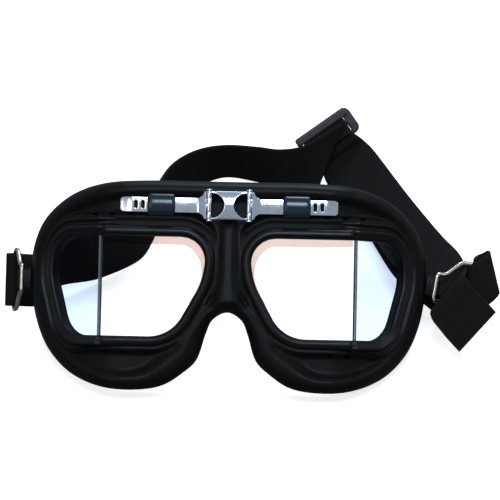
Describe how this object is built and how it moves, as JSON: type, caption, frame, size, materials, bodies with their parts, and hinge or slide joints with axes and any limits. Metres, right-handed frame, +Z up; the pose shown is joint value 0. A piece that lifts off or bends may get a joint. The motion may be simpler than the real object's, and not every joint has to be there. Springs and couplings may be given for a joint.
{
  "type": "aviator goggles",
  "caption": "Aviator goggles with a moulded rubber mask, folded glass panes in two eye rims, a hinged metal bridge, wire buckles and an adjustable webbing strap.",
  "frame": {"origin": "middle of the footprint, on the table that the goggles lie on", "axes": "+X to the right in the picture, +Y from the lenses back towards the rear of the strap loop, +Z up"},
  "size_m": [0.2306, 0.201, 0.0851],
  "materials": {
    "rubber": "satin moulded",
    "rim": "smooth moulded",
    "glass": "clear",
    "seal": "pale bead",
    "nickel": "plated",
    "keeper": "satin moulded",
    "screw": "turned",
    "webbing": "fine woven",
    "slider": "smooth"
  },
  "bodies": {
    "bridge": {"centre_plate": "nickel", "hinge_pins": "nickel", "mask_nose": "rubber", "strap_rear": "webbing", "strap_tail": "webbing", "strap_short": "webbing", "strap_run_left": "webbing"},
    "left_leaf": {"bridge_strip_left": "nickel"},
    "right_leaf": {"bridge_strip_right": "nickel"},
    "left_half": {"mask_left": "rubber", "rim_left": "rim", "front_pane_left": "glass", "side_pane_left": "glass", "pane_seal_left": "seal", "retainer_left": "rim", "retainer_screws_left": "screw", "keeper_left": "keeper", "strip_stud_left": "keeper", "lug_left": "rubber"},
    "right_half": {"mask_right": "rubber", "rim_right": "rim", "front_pane_right": "glass", "side_pane_right": "glass", "pane_seal_right": "seal", "retainer_right": "rim", "retainer_screws_right": "screw", "keeper_right": "keeper", "strip_stud_right": "keeper", "lug_right": "rubber"},
    "left_buckle": {"buckle_left": "nickel", "strap_end_left": "webbing"},
    "right_buckle": {"buckle_right": "nickel", "strap_end_right": "webbing"},
    "slider": {"slider_frame": "slider"}
  },
  "joints": [
    {"name": "left_hinge", "type": "hinge", "parent": "bridge", "child": "left_leaf", "pos_m": [-0.01851, -0.05486, 0.07855], "axis": [0, 0.6157, 0.788], "range_deg": [-14, 6], "stiffness_Nm_per_rad": 0.5, "deforming": ["mask_nose", "mask_left"]},
    {"name": "right_hinge", "type": "hinge", "parent": "bridge", "child": "right_leaf", "pos_m": [-0.00071, -0.05486, 0.07855], "axis": [0, 0.6157, 0.788], "range_deg": [-6, 14], "stiffness_Nm_per_rad": 0.5, "deforming": ["mask_nose", "mask_right"]},
    {"name": "left_width", "type": "slide", "parent": "left_leaf", "child": "left_half", "axis": [-1, 0, 0], "range_m": [0, 0.0031], "deforming": ["mask_left", "strap_run_left"]},
    {"name": "right_width", "type": "slide", "parent": "right_leaf", "child": "right_half", "axis": [1, 0, 0], "range_m": [0, 0.0031], "deforming": ["mask_right", "strap_short"]},
    {"name": "left_buckle_swing", "type": "hinge", "parent": "left_half", "child": "left_buckle", "pos_m": [-0.1054, -0.04658, 0.03021], "axis": [0, 0.6157, 0.788], "range_deg": [-15, 40], "deforming": ["strap_run_left", "strap_end_left"]},
    {"name": "right_buckle_swing", "type": "hinge", "parent": "right_half", "child": "right_buckle", "pos_m": [0.08619, -0.04658, 0.03021], "axis": [0.1564, 0.6081, 0.7783], "range_deg": [-20, 40], "deforming": ["strap_short", "strap_tail", "strap_end_right"]},
    {"name": "slider_travel", "type": "slide", "parent": "bridge", "child": "slider", "axis": [0.5888, -0.4614, -0.6637], "range_m": [0, 0.006], "deforming": ["strap_rear", "strap_tail", "strap_short"]}
  ]
}
